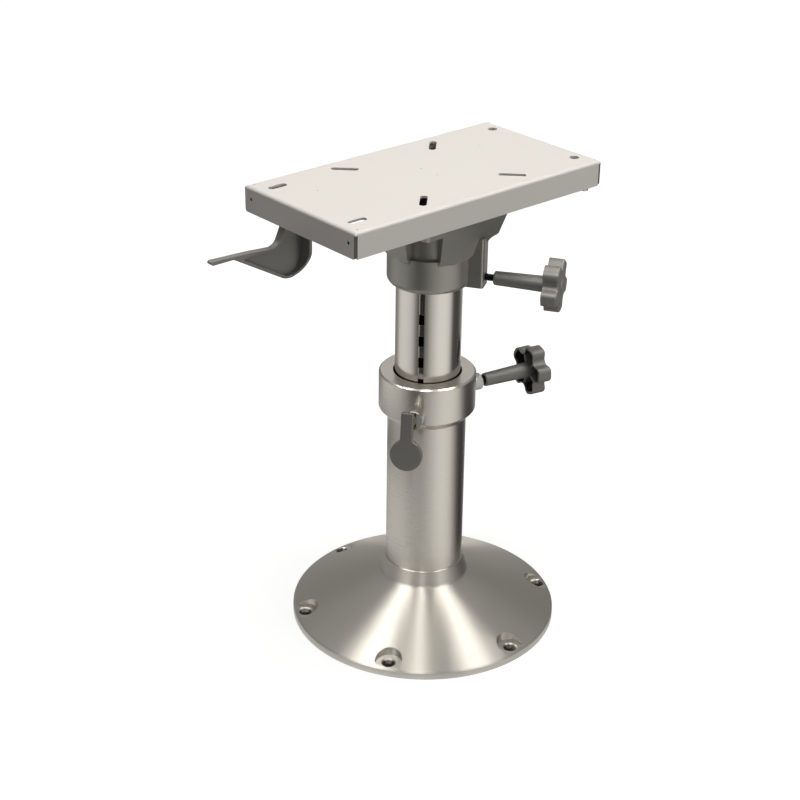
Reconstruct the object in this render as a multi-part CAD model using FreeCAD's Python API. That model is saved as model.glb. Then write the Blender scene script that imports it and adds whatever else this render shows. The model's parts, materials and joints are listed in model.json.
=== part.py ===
"""Boat seat pedestal: adjustable column on a flared base, swivel head and fore-and-aft seat slide.

Millimetres, +Z up. The origin is on the column's axis at the deck face of the base.
The front of the seat is at -Y. A bearing is an angle round the column from the front, towards +X.
"""
import FreeCAD, Part
import math
import os

Vector = FreeCAD.Vector
UP = Vector(0, 0, 1)

# Fits
running_fit = 0.05
sliding_gap = 0.3
press_gap = 0.02

# Base casting
base_diameter = 305.0
rim_height = 9.0
rim_edge = 1.6
rim_round = 1.2
cone_top_height = 54.5
cone_wall = 5.6
land_width = 29.5
neck_foot = 6.0
neck_foot_round = 1.5
neck_foot_step = 1.2
neck_height = 72.0
neck_lip = 1.4
socket_floor = 26.0
socket_ledge = 6.0
rib_thickness = 5.0
rib_foot = 12.0
bolt_edge_distance = 11.5
bolt_hole_radius = 4.2
bolt_count = 6
first_bolt_bearing = 32.6
pocket_radius = 15.3
pocket_floor = 10.0
countersink_radius = 8.4

# Column tube and collar
tube_radius = 44.0
tube_wall = 3.2
tube_length = 264.0
collar_wall = 10.0
collar_height = 52.5
collar_overlap = 34.5
collar_chamfer = 9.5
collar_bevel = 1.8
collar_lip_gap = 1.8
bush_length = 48.0

# Post
post_radius = 36.5
post_wall = 5.5
post_length = 328.0
post_engagement = 148.0
groove_bearing = 36.0
groove_width = 6.2
groove_depth = 3.0
groove_stop = 46.0
window_pitch = 25.4
window_height = 12.0
windows_above = 4
windows_below = 2
foot_ring_height = 18.0
foot_ring_lip = 4.0
plug_depth = 18.0
plug_flange = 4.0
plug_round = 0.6

# Height pin in its boss
pin_rise = 24.0
pin_boss_root_radius = 9.4
pin_boss_radius = 11.0
pin_boss_reach = 19.0
pin_boss_rim = 4.0
pin_shank_radius = 6.0
pin_shank_end_inset = 17.0
pin_bore_inset = 10.6
pin_bore_wall = 1.5
pin_slot_half_width = 3.6
pin_slot_drop = 6.4
pin_slot_rise = 8.4
blade_side_play = 0.2
blade_end_play = 0.8
blade_length = 8.0
tail_radius = 3.0
tongue_thickness = 3.0
tongue_height = 5.0
tongue_inset = 1.0
pull_pin_radius = 1.2
pull_slot_play = 0.25
pull_slot_height = 3.4
pivot_rise = 4.6
pivot_inset = 4.0
pivot_radius = 1.5
spring_wire = 1.0
spring_gap = 0.6
spring_turns = 3

# Height lever
paddle_thickness = 5.0
paddle_left = -11.3
paddle_right = 2.2
paddle_disc_radius = 17.8
paddle_disc_shift = 0.6
paddle_disc_drop = 45.5
paddle_top_rise = 12.1
paddle_offset = 8.5
paddle_tilt = 8.0
paddle_waist_round = 4.0
paddle_edge_round = 1.2
cheek_thickness = 1.6
cheek_gap = 0.2
cheek_radius = 2.6
neck_gap = 3.8
neck_rise = 1.2
neck_sink = 1.6

# Clamp screws with their knobs
clamp_screw_radius = 4.0
clamp_pad_radius = 3.4
clamp_pad_length = 4.5
clamp_screw_into_knob = 22.0
lower_clamp_bearing = 168.0
lower_clamp_rise = 22.5
lower_bush_radius = 9.5
lower_bush_length = 15.2
lower_bush_sink = 0.6
lower_bush_round = 1.5
lower_knob_gap = 5.0
upper_clamp_bearing = 122.2
upper_clamp_rise = 12.2
upper_knob_gap = 9.6
knob_sleeve_length = 56.6
knob_sleeve_tip_radius = 7.6
knob_sleeve_radius = 8.9
knob_recess_radius = 5.6
knob_recess_depth = 7.0
knob_thickness = 17.2
knob_lobes = 5
knob_lobe_radius = 29.9
knob_lobe_spread = 16.5
knob_valley_radius = 16.3
knob_rounding = 6.0
knob_edge_round = 2.4
knob_wall = 3.2
upper_knob_turn = 36.7
lower_knob_turn = 13.3
knob_face_thickness = 4.5
knob_rib_thickness = 2.6
knob_rib_step = 1.5
knob_cap_radius = 7.5
knob_cap_thickness = 2.0
knob_cap_rise = 0.8

# Swivel housing
housing_wall = 10.0
housing_skirt = 62.0
housing_round = 8.0
housing_collar_height = 39.0
housing_core_wall = 2.85
flare_overlap = 5.0
flare_bottom_half = 46.4
flare_top_half = 60.3
flare_corner = 4.5
flare_rise = 1.1
flare_knee_radius = 66.0
flare_outer_rise = 0.3
flange_thickness = 12.0
pocket_first_bearing = -50.4
pocket_count = 3
pocket_half_angle = 19.4
clamp_boss_width = 21.0
clamp_boss_reach = 15.3
clamp_boss_rise = 2.0
clamp_boss_height = 56.0
clamp_boss_round = 3.0
housing_land_gap = 0.7
swivel_bush_wall = 2.1
swivel_bush_height = 17.0
bush_seat_rise = 18.0
bush_top_gap = 5.0
thrust_washer_thickness = 2.0
thrust_washer_inset = 2.0
swivel_bolt_radius = 6.0
swivel_hexagon = 19.0
swivel_web_thickness = 15.0
nut_recess_radius = 20.0
nut_recess_depth = 9.0
swivel_nut_height = 9.0
swivel_nut_collar = 2.0
swivel_nut_collar_radius = 8.4
swivel_head_height = 7.5
swivel_washer_radius = 14.0
swivel_washer_thickness = 2.0

# Slide base
slide_sheet = 3.0
slide_depth = 29.0
slide_flange_width = 8.5
slide_front = -80.0
slide_back = 95.0
slide_bend = 4.0
slide_tip_round = 1.2
slide_bolt_inset = 10.3
slide_bolt_radius = 4.0
slide_bolt_hexagon = 13.0
slide_bolt_head = 5.3
slide_bolt_length = 15.0
slide_bolt_play = 0.2
access_hole_margin = 4.0
slide_travel = 50.8

# Seat plate
plate_half_width = 88.5
plate_front = -177.8
plate_back = 164.0
plate_sheet = 2.5
plate_depth = 28.0
plate_bend = 3.6
plate_seam_gap = 0.7
plate_lip_step = 0.8
plate_corner_round = 3.0
front_slot_inset = 23.5
rear_hole_inset = 15.5
seat_hole_half_spacing = 63.5
front_slot_length = 22.4
front_slot_radius = 4.0
rear_hole_radius = 5.35
diagonal_slot_centre = 62.0
diagonal_slot_y = -5.0
diagonal_slot_length = 29.5
diagonal_slot_radius = 3.85
relief_radius = 0.9
relief_side_inset = 6.5
relief_front_inset = 8.0
relief_back_inset = 3.0
gauge_hole_half_spacing = 13.0
gauge_hole_shift = 1.0
rivet_hole_x = -28.5
rivet_hole_front_inset = 47.8
rivet_hole_back_inset = 68.0
end_hole_radius = 1.9
end_hole_inset = 10.5
end_hole_drop = 13.0

# Rails and runners
rail_sheet = 2.5
rail_depth = 10.0
rail_bend = 3.0
runner_web = 3.4
runner_side_wall = 1.7
runner_inset = 1.5
runner_round = 0.8
rail_end_gap = 0.5
stop_screw_radius = 2.5
stop_screw_inset = 0.6
stop_screw_drop = 4.6
stop_head_radius = 4.2
stop_head_height = 2.6
stop_head_round = 0.9

# Slide latch
latch_pitch = 12.7
rack_sheet = 3.0
rack_x = -37.8
rack_height = 13.0
rack_foot = 10.0
rack_end_margin = 7.0
rack_bend = 1.5
rack_notches_each_way = 4
notch_radius = 3.0
notch_rise = 0.6
arm_sheet = 3.0
arm_gap = 0.2
arm_below = 7.0
arm_above = 5.0
arm_front = -160.0
arm_end_round = 4.9
arm_front_round = 2.0
latch_pivot_y = 40.0
latch_pivot_drop = 13.2
latch_pivot_radius = 3.0
latch_stud_y = -25.0
latch_stud_radius = 2.5
latch_stud_gap = 0.4
latch_stud_end = 0.5
bracket_sheet = 2.0
bracket_side_gap = 1.0
bracket_length = 12.0
bracket_round = 0.8
pivot_pin_end = 1.2
latch_spring_y = -60.0
latch_spring_radius = 3.6
latch_spring_wire = 1.0
latch_spring_turns = 4

# Slide lever: setbacks are counted from its back, drops from the latch pivot
lever_web = 3.0
lever_rim_depth = 8.0
lever_back_depth = 18.0
lever_rim = 3.2
lever_back_inset = 37.9
lever_length = 118.1
lever_tongue_drop = 32.6
lever_tongue_thickness = 4.2
lever_tongue_round = 1.9
lever_break_setback = 91.6
lever_break_round = 6.0
lever_round = 21.6
lever_corner_drop = 90.6
lever_neck_drop = 10.0
lever_neck_width = 28.1
lever_neck_step = 2.0
lever_throat_drop = 18.5
lever_throat_round = 8.0
lever_knee_setback = 37.1
lever_knee_drop = 37.8
lever_knee_round = 12.0
lever_fall_setback = 69.1
lever_fall_drop = 35.0
lever_pocket_setback = 79.6
lever_pocket_drop = 40.2
lever_pocket_fall = 3.2
lever_trim_setback = 34.0
lever_trim_step = 10.0
lever_trim_round = 12.0
lever_taper_drops = (73.0, 50.0, 42.0)
lever_taper_round = 16.0
lever_head_rise = 5.0
lever_head_drop = 17.0
lever_head_round = 5.0
lever_rivet_radius = 2.2
lever_rivet_back_inset = 8.0
lever_rivet_front_inset = 17.1
rivet_head_radius = 3.8
rivet_head_height = 1.2

# Radii and bearings worked out from those above
base_radius = base_diameter / 2
land_inner_radius = base_radius - land_width
bolt_circle_radius = base_radius - bolt_edge_distance
neck_bottom_radius = tube_radius + neck_foot
tube_bore = tube_radius - tube_wall
collar_radius = tube_radius + collar_wall
post_bore = post_radius - post_wall
pin_boss_end = collar_radius + pin_boss_reach
pin_shank_end = pin_boss_end - pin_shank_end_inset
pin_bore_end = pin_boss_end - pin_bore_inset
pin_slot_start = pin_bore_end + pin_bore_wall
tongue_end = pin_boss_end - tongue_inset
pivot_reach = pin_boss_end - pivot_inset
blade_width = groove_width - 2 * blade_side_play
blade_height = window_height - 2 * blade_end_play
lower_bush_start = collar_radius - lower_bush_sink
lower_bush_end = lower_bush_start + lower_bush_length
lower_knob_start = lower_bush_end + lower_knob_gap
housing_radius = post_radius + housing_wall
swivel_bush_radius = post_radius + running_fit + swivel_bush_wall
housing_core_radius = swivel_bush_radius + housing_core_wall
clamp_boss_end = housing_radius + clamp_boss_reach
upper_knob_start = clamp_boss_end + upper_knob_gap
slide_bolt_half_spacing = flare_top_half - slide_bolt_inset

# Heights worked out from those above
tube_top = socket_floor + tube_length
collar_bottom = tube_top - collar_overlap
collar_top = collar_bottom + collar_height
pin_height = collar_bottom + pin_rise
lower_clamp_height = collar_bottom + lower_clamp_rise
post_bottom = tube_top - post_engagement
post_top = post_bottom + post_length
groove_top = post_top - groove_stop
washer_bottom = post_top + plug_flange
ceiling = washer_bottom + thrust_washer_thickness
web_top = ceiling + swivel_web_thickness
slide_floor = web_top + nut_recess_depth
housing_bottom = ceiling - housing_skirt
housing_shoulder = housing_bottom + housing_collar_height
flare_bottom = housing_shoulder - flare_overlap
clamp_boss_bottom = housing_bottom + clamp_boss_rise
clamp_boss_top = clamp_boss_bottom + clamp_boss_height
upper_clamp_height = housing_bottom + upper_clamp_rise
bush_seat_height = housing_bottom + bush_seat_rise
upper_bush_height = ceiling - bush_top_gap - swivel_bush_height
slide_top = slide_floor + slide_depth
slide_floor_top = slide_floor + slide_sheet
runner_top = slide_top + sliding_gap + runner_web
runner_bottom = slide_top - slide_sheet - sliding_gap - runner_web
rail_bottom = runner_bottom - rail_sheet
plate_under = runner_top + rail_sheet
plate_top = plate_under + plate_sheet
latch_pivot_z = plate_under - latch_pivot_drop
rack_top = slide_floor_top + rack_height
latch_stud_z = rack_top + latch_stud_radius + latch_stud_gap

# Slide widths and lengths worked out from those above
rail_outer = plate_half_width - plate_sheet
rail_inner = rail_outer - rail_depth
runner_outer = rail_outer - rail_sheet
groove_end = runner_outer - runner_side_wall
slide_flange_half = groove_end - sliding_gap
slide_half_width = slide_flange_half - slide_flange_width
rail_front = slide_front - slide_travel - rail_end_gap - rail_sheet
rail_stop_y = slide_back + slide_travel + rail_end_gap + stop_screw_radius
rail_back = rail_stop_y + stop_screw_radius + rail_sheet
stop_screw_x = runner_outer - stop_screw_radius - stop_screw_inset
arm_x = rack_x - arm_gap - arm_sheet
arm_face = arm_x + arm_sheet
lever_back_y = plate_front + lever_back_inset
lever_tip_y = lever_back_y - lever_length
lever_front_y = lever_back_y - lever_neck_width


def outline(points, place):
    """A closed wire through (u, v) or (u, v, radius) corners, each rounded by its radius."""
    corners = [Vector(p[0], p[1], 0) for p in points]
    radii = [p[2] if len(p) > 2 else 0 for p in points]
    ends = []
    for i, corner in enumerate(corners):
        before = (corners[i - 1] - corner).normalize()
        after = (corners[(i + 1) % len(corners)] - corner).normalize()
        if not radii[i]:
            ends.append((corner, None, corner))
            continue
        half = before.getAngle(after) / 2
        reach = radii[i] / math.tan(half)
        middle = (before + after).normalize()
        centre = corner + middle * (radii[i] / math.sin(half))
        ends.append((corner + before * reach, centre - middle * radii[i], corner + after * reach))
    edges = []
    for i, (start, middle, end) in enumerate(ends):
        if middle is not None:
            edges.append(Part.Arc(place(start), place(middle), place(end)).toShape())
        follow = ends[(i + 1) % len(ends)][0]
        if (follow - end).Length > 1e-6:
            edges.append(Part.LineSegment(place(end), place(follow)).toShape())
    return Part.Wire(edges)


def on_xz(v):
    return Vector(v.x, 0, v.y)


def on_xy(v):
    return Vector(v.x, v.y, 0)


def on_yz(v):
    return Vector(0, v.x, v.y)


def turned(points):
    """A solid turned about the column's axis from (radius, height) corners."""
    return Part.Face(outline(points, on_xz)).revolve(Vector(), UP, 360)


def along_x(points, start, end):
    """A (y, z) outline carried along X from start to end."""
    face = Part.Face(outline(points, on_yz))
    face.translate(Vector(start, 0, 0))
    return face.extrude(Vector(end - start, 0, 0))


def along_y(points, start, end):
    """An (x, z) outline carried along Y from start to end."""
    face = Part.Face(outline(points, on_xz))
    face.translate(Vector(0, start, 0))
    return face.extrude(Vector(0, end - start, 0))


def along_z(points, start, end):
    """An (x, y) outline carried up from start to end."""
    face = Part.Face(outline(points, on_xy))
    face.translate(Vector(0, 0, start))
    return face.extrude(Vector(0, 0, end - start))


def box(x, y, z):
    """A block between the two ends given for each direction."""
    size = [abs(pair[1] - pair[0]) for pair in (x, y, z)]
    return Part.makeBox(*size, Vector(min(x), min(y), min(z)))


def upright(radius, start, end, x=0, y=0):
    return Part.makeCylinder(radius, end - start, Vector(x, y, start), UP)


def spindle(radius, start, end, y=0, z=0):
    """A round bar along X."""
    return Part.makeCylinder(radius, end - start, Vector(start, y, z), Vector(1, 0, 0))


def crossbar(radius, half_length, x, z):
    """A round bar along Y, centred on the XZ plane."""
    return Part.makeCylinder(radius, 2 * half_length, Vector(x, -half_length, z), Vector(0, 1, 0))


def bearing(shape, angle, height=0):
    """Carry a shape drawn along +X round to a bearing of the column, and up by height."""
    placed = shape.copy()
    placed.rotate(Vector(), UP, angle - 90)
    placed.translate(Vector(0, 0, height))
    return placed


def hexagon(across_flats, start, end, x=0, y=0):
    corner = across_flats / math.sqrt(3)
    angles = [math.radians(60 * i) for i in range(6)]
    points = [(x + corner * math.cos(a), y + corner * math.sin(a)) for a in angles]
    return along_z(points, start, end)


def slot(length, radius, angle, x, y):
    """A cutter for a round-ended slot through the seat plate."""
    half = length / 2 - radius
    low = plate_under - 1
    high = plate_top + 1
    bar = box((-half, half), (-radius, radius), (low, high))
    ends = [upright(radius, low, high, -half), upright(radius, low, high, half)]
    cutter = bar.fuse(ends).removeSplitter()
    cutter.rotate(Vector(), UP, angle)
    cutter.translate(Vector(x, y, 0))
    return cutter


def coil(radius, wire, turns, height):
    """A coil spring standing on z = 0, with its wire's centre line on a helix."""
    rise = height - wire
    helix = Part.makeHelix(rise / turns, rise, radius)
    helix.translate(Vector(0, 0, wire / 2))
    section = Part.Wire(Part.makeCircle(wire / 2, Vector(radius, 0, wire / 2), Vector(0, 1, 0)))
    return Part.Wire(helix.Edges).makePipeShell([section], True, True)


def cone_height(radius):
    """Height of the base's sloping face at a radius."""
    slope = (cone_top_height - rim_height) / (base_radius - rim_edge - neck_bottom_radius)
    return rim_height + (base_radius - rim_edge - radius) * slope


# Column
def base_flange():
    neck_top = tube_radius + neck_lip
    foot = neck_foot_step
    under_top = cone_height(neck_bottom_radius) - cone_wall
    under_low = cone_height(land_inner_radius) - cone_wall
    body = turned([
        (base_radius, 0), (base_radius, rim_height - rim_edge, rim_round),
        (base_radius - rim_edge, rim_height, rim_round),
        (neck_bottom_radius + foot, cone_height(neck_bottom_radius + foot), neck_foot_round),
        (neck_bottom_radius, cone_top_height + foot, foot / 2), (neck_top, neck_height, 0.5),
        (tube_radius + press_gap, neck_height), (tube_radius + press_gap, socket_floor),
        (tube_radius - socket_ledge, socket_floor),
        (tube_radius - socket_ledge, socket_floor - socket_ledge),
        (neck_bottom_radius, socket_floor - socket_ledge), (neck_bottom_radius, under_top, 3),
        (land_inner_radius, under_low, 3), (land_inner_radius, 0)])
    rib_profile = [
        (neck_bottom_radius - 1, socket_floor), (neck_bottom_radius - 1, under_top + 1),
        (land_inner_radius + 1, under_low + 1), (land_inner_radius + 1, 0),
        (land_inner_radius - rib_foot, 0)]
    rib = along_y(rib_profile, -rib_thickness / 2, rib_thickness / 2)
    step = 360 / bolt_count
    body = body.fuse([bearing(rib, first_bolt_bearing + step * (i + 0.5)) for i in range(bolt_count)])
    pocket = upright(pocket_radius, pocket_floor, cone_top_height, bolt_circle_radius)
    sink_depth = countersink_radius - bolt_hole_radius
    hole = upright(bolt_hole_radius, -1, pocket_floor + 1, bolt_circle_radius)
    sink = Part.makeCone(bolt_hole_radius, countersink_radius, sink_depth,
                         Vector(bolt_circle_radius, 0, pocket_floor - sink_depth))
    cutter = pocket.fuse([hole, sink])
    cutters = [bearing(cutter, first_bolt_bearing + step * i) for i in range(bolt_count)]
    return body.cut(cutters).removeSplitter()


def column_tube():
    tube = upright(tube_radius, socket_floor, tube_top)
    tube = tube.cut(upright(tube_bore, socket_floor, tube_top))
    return tube.cut([pin_hole(), lower_clamp_hole()])


def pin_hole():
    """Blind bore of the height pin, out through the column's walls into the boss."""
    bore = spindle(pin_shank_radius + running_fit, post_radius - 2, pin_bore_end)
    return bearing(bore, groove_bearing, pin_height)


def lower_clamp_hole():
    hole = spindle(clamp_screw_radius + running_fit, post_radius - 2, collar_radius + 2)
    return bearing(hole, lower_clamp_bearing, lower_clamp_height)


def column_collar():
    inner = tube_radius + press_gap
    lip = post_radius + collar_lip_gap
    ring = turned([
        (inner, collar_bottom), (collar_radius - collar_chamfer + 1, collar_bottom, 0.8),
        (collar_radius, collar_bottom + collar_chamfer, 3), (collar_radius, collar_top - collar_bevel, 0.8),
        (collar_radius - collar_bevel, collar_top, 0.8), (lip, collar_top), (lip, tube_top),
        (inner, tube_top)])
    boss = Part.Face(outline([
        (tube_radius + 3, 0), (tube_radius + 3, pin_boss_root_radius),
        (collar_radius, pin_boss_root_radius, 4), (pin_boss_end - pin_boss_rim, pin_boss_radius, 2),
        (pin_boss_end, pin_boss_radius, 0.5), (pin_boss_end, 0)], on_xy))
    boss = boss.revolve(Vector(), Vector(1, 0, 0), 360)
    boss.translate(Vector(0, 0, pin_height))
    tail_way = spindle(tail_radius + running_fit, pin_bore_end - 1, pin_slot_start + 1, 0, pin_height)
    lever_slot = box((pin_slot_start, pin_boss_end + 1), (-pin_slot_half_width, pin_slot_half_width),
                     (pin_height - pin_slot_drop, pin_height + pin_slot_rise))
    pivot = crossbar(pivot_radius, pin_boss_radius, pivot_reach, pin_height + pivot_rise)
    ring = ring.fuse(bearing(boss, groove_bearing))
    cutters = [bearing(cutter, groove_bearing) for cutter in (tail_way, lever_slot, pivot)]
    return ring.cut(cutters + [pin_hole(), lower_clamp_hole()])


def column_bush():
    top = tube_top - press_gap
    bush = upright(tube_bore - press_gap, top - bush_length, top)
    bush = bush.cut(upright(post_radius + running_fit, top - bush_length, top))
    return bush.cut([pin_hole(), lower_clamp_hole()])


# Post
def windows():
    cutters = []
    for step in range(-windows_below, windows_above + 1):
        middle = pin_height + step * window_pitch
        window = box((post_bore - 3, post_radius), (-groove_width / 2, groove_width / 2),
                     (middle - window_height / 2, middle + window_height / 2))
        cutters.append(bearing(window, groove_bearing))
    return cutters


def post():
    tube = upright(post_radius, post_bottom, post_top)
    tube = tube.cut(upright(post_bore, post_bottom, post_top))
    floor = post_radius - groove_depth
    groove = box((floor, post_radius + 2), (-groove_width / 2, groove_width / 2), (post_bottom, groove_top))
    return tube.cut([bearing(groove, groove_bearing)] + windows())


def post_foot_ring():
    outer = tube_bore - running_fit
    seat = post_radius + press_gap
    lip = post_bottom - foot_ring_lip
    return turned([
        (post_bore, lip), (outer - 1, lip), (outer, lip + 1), (outer, post_bottom + foot_ring_height),
        (seat, post_bottom + foot_ring_height), (seat, post_bottom), (post_bore, post_bottom)])


def post_plug():
    top = washer_bottom
    return turned([
        (swivel_bolt_radius + running_fit, post_top - plug_depth), (post_bore - 1, post_top - plug_depth),
        (post_bore - press_gap, post_top - plug_depth + 1), (post_bore - press_gap, post_top),
        (post_radius, post_top), (post_radius, top - plug_round), (post_radius - plug_round, top),
        (swivel_bolt_radius + running_fit, top)])


def thrust_washer():
    washer = upright(post_radius - thrust_washer_inset, washer_bottom, ceiling)
    return washer.cut(upright(swivel_bolt_radius + running_fit, washer_bottom, ceiling))


def swivel_bolt():
    head_top = post_top - plug_depth
    nut_top = web_top + sliding_gap + swivel_washer_thickness + swivel_nut_height
    shank = upright(swivel_bolt_radius, head_top, nut_top + 1)
    return shank.fuse(hexagon(swivel_hexagon, head_top - swivel_head_height, head_top)).removeSplitter()


def swivel_washer():
    bottom = web_top + sliding_gap
    top = bottom + swivel_washer_thickness
    washer = upright(swivel_washer_radius, bottom, top)
    return washer.cut(upright(swivel_bolt_radius + press_gap, bottom, top))


def swivel_nut():
    """Lock nut with a round collar above its hexagon."""
    bottom = web_top + sliding_gap + swivel_washer_thickness
    top = bottom + swivel_nut_height
    nut = hexagon(swivel_hexagon, bottom, top - swivel_nut_collar)
    nut = nut.fuse(upright(swivel_nut_collar_radius, bottom, top)).removeSplitter()
    return nut.cut(upright(swivel_bolt_radius + press_gap, bottom - 1, top + 1))


# Height pin and its lever
def height_pin():
    """Blade that keys the post's groove, round shank, spring tail and slotted tongue."""
    tip = post_radius - groove_depth + sliding_gap
    shank_start = tip + blade_length
    blade = box((tip, shank_start + 1), (-blade_width / 2, blade_width / 2),
                (-blade_height / 2, blade_height / 2))
    shank = spindle(pin_shank_radius, shank_start, pin_shank_end)
    tail = spindle(tail_radius, pin_shank_end, pin_slot_start + spring_gap)
    half = tongue_height / 2
    tongue = along_y([
        (pin_bore_end, -half), (tongue_end, -half, half / 2), (tongue_end, half, half / 2),
        (pin_bore_end, half)], -tongue_thickness / 2, tongue_thickness / 2)
    width = pull_pin_radius + pull_slot_play
    rise = pull_slot_height / 2 - width
    ends = [crossbar(width, 4, pivot_reach, side * rise) for side in (-1, 1)]
    slit = box((pivot_reach - width, pivot_reach + width), (-4, 4), (-rise, rise))
    pin = blade.fuse([shank, tail, tongue]).removeSplitter().cut(ends + [slit])
    return bearing(pin, groove_bearing, pin_height)


def pin_spring():
    """Closed-up spring between the pin's shoulder and the end of its bore."""
    length = spring_wire * (spring_turns + 1)
    spring = coil(tail_radius + spring_gap + spring_wire / 2, spring_wire, spring_turns, length)
    spring.rotate(Vector(), Vector(0, 1, 0), 90)
    spring.translate(Vector(pin_bore_end - length, 0, 0))
    return bearing(spring, groove_bearing, pin_height)


def lever_pivot_pin():
    half = math.sqrt(pin_boss_radius ** 2 - pivot_rise ** 2)
    pin = crossbar(pivot_radius - press_gap, half, pivot_reach, pivot_rise)
    return bearing(pin, groove_bearing, pin_height)


def lever_pull_pin():
    half = tongue_thickness / 2 + cheek_gap + cheek_thickness
    return bearing(crossbar(pull_pin_radius, half, pivot_reach, 0), groove_bearing, pin_height)


def paddle():
    """Keyhole-shaped handle, drawn upright with its pivot height at z = 0 and its back at x = 0."""
    middle = (paddle_left + paddle_right) / 2 + paddle_disc_shift
    drop = paddle_disc_drop - pivot_rise
    top = paddle_top_rise - pivot_rise
    stem = Part.Face(outline([
        (paddle_left, -drop), (paddle_right, -drop), (paddle_right, top, 2), (paddle_left, top, 3)], on_yz))
    stem = stem.extrude(Vector(paddle_thickness, 0, 0))
    disc = spindle(paddle_disc_radius, 0, paddle_thickness, middle, -drop)
    handle = stem.fuse(disc).removeSplitter()
    waist = [e for e in handle.Edges if e.Length > paddle_thickness - 0.01 and abs(e.BoundBox.ZLength) < 0.01
             and e.BoundBox.YLength < 0.01 and -drop < e.BoundBox.ZMin < -drop + paddle_disc_radius + 1]
    handle = handle.makeFillet(paddle_waist_round, waist)
    front = [e for e in handle.Edges if e.BoundBox.XMin > paddle_thickness - 0.01]
    return handle.makeFillet(paddle_edge_round, front)


def height_lever():
    handle = paddle()
    handle.rotate(Vector(), Vector(0, 1, 0), -paddle_tilt)
    handle.translate(Vector(pivot_reach + paddle_offset, 0, 0))
    inner = tongue_thickness / 2 + cheek_gap
    outer = inner + cheek_thickness
    neck_start = tongue_end + neck_gap
    start = pivot_reach - cheek_radius
    end = pivot_reach + paddle_offset + neck_sink
    low = -pivot_rise - cheek_radius
    high = cheek_radius - 0.1
    profile = [(start, low, 2), (end, low), (end, neck_rise), (pivot_reach + high, neck_rise, 1),
               (pivot_reach, high, 1), (start, high, 2.2)]
    cheeks = along_y(profile, -outer, outer)
    cheeks = cheeks.cut(box((start - 1, neck_start), (-inner, inner), (low - 1, high + 1)))
    lever = handle.fuse(cheeks).removeSplitter()
    lever = lever.cut([crossbar(pivot_radius + running_fit, 8, pivot_reach, 0),
                       crossbar(pull_pin_radius, 8, pivot_reach, -pivot_rise)])
    return bearing(lever, groove_bearing, pin_height + pivot_rise)


# Clamp screws
def knob_outline(shrink):
    """Rounded five-lobed outline in the YZ plane, drawn in by shrink."""
    points = []
    lobe = knob_lobe_radius - shrink
    valley = knob_valley_radius - shrink
    spread = math.radians(knob_lobe_spread)
    ease = shrink * 0.6
    for i in range(knob_lobes):
        middle = math.radians(90 + 360 / knob_lobes * i)
        notch = middle + math.pi / knob_lobes
        for side in (-1, 1):
            angle = middle + side * spread
            points.append((lobe * math.cos(angle), lobe * math.sin(angle), knob_rounding - ease))
        points.append((valley * math.cos(notch), valley * math.sin(notch), knob_rounding + ease))
    return Part.Face(outline(points, on_yz))


def clamp_knob():
    """Hollow star knob on a long sleeve, drawn along +X with the sleeve's tip at x = 0."""
    start = knob_sleeve_length
    end = start + knob_thickness
    star = knob_outline(0)
    star.translate(Vector(start, 0, 0))
    star = star.extrude(Vector(knob_thickness, 0, 0))
    rims = [e for e in star.Edges if e.BoundBox.XMin > end - 0.01]
    star = star.makeFillet(knob_edge_round, rims)
    hollow = knob_outline(knob_wall)
    hollow.translate(Vector(start - 1, 0, 0))
    hollow = hollow.extrude(Vector(knob_thickness - knob_face_thickness + 1, 0, 0))
    sleeve = Part.Face(outline([
        (0, 0), (0, knob_sleeve_tip_radius, 2), (start, knob_sleeve_radius),
        (end - 1, knob_sleeve_radius), (end - 1, 0)], on_xy)).revolve(Vector(), Vector(1, 0, 0), 360)
    half = knob_rib_thickness / 2
    rib = box((start + knob_rib_step, end - 1), (-half, half),
              (knob_sleeve_radius / 2, knob_valley_radius + 2))
    ribs = []
    for i in range(knob_lobes):
        arm = rib.copy()
        arm.rotate(Vector(), Vector(1, 0, 0), 360 / knob_lobes * (i + 0.5))
        ribs.append(arm)
    knob = star.cut(hollow).fuse([sleeve] + ribs).removeSplitter()
    screw = spindle(clamp_screw_radius, -1, clamp_screw_into_knob)
    recess = spindle(knob_recess_radius, -1, knob_recess_depth)
    cap_seat = spindle(knob_cap_radius, end - knob_cap_thickness + knob_cap_rise, end + 1)
    return knob.cut([screw, recess, cap_seat])


def knob_cap():
    start = knob_sleeve_length + knob_thickness - knob_cap_thickness + knob_cap_rise
    cap = spindle(knob_cap_radius - press_gap, start, start + knob_cap_thickness)
    rim = [e for e in cap.Edges if e.BoundBox.XMin > start + knob_cap_thickness / 2]
    return cap.makeFillet(knob_cap_rise, rim)


def clamp_screw(knob_start):
    start = post_radius + sliding_gap + clamp_pad_length
    return spindle(clamp_screw_radius, start, knob_start + clamp_screw_into_knob)


def clamp_pad():
    start = post_radius + sliding_gap
    return spindle(clamp_pad_radius, start, start + clamp_pad_length)


def lower_clamp_bush():
    start = lower_bush_start
    bush = spindle(lower_bush_radius, start, lower_bush_end)
    bush = bush.makeFillet(lower_bush_round, [e for e in bush.Edges if e.BoundBox.XMin > lower_bush_end - 1])
    bush = bush.cut(spindle(clamp_screw_radius + running_fit, start - 1, lower_bush_end + 1))
    bush = bearing(bush, lower_clamp_bearing, lower_clamp_height)
    return bush.cut(upright(collar_radius, collar_bottom, collar_top))


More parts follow.
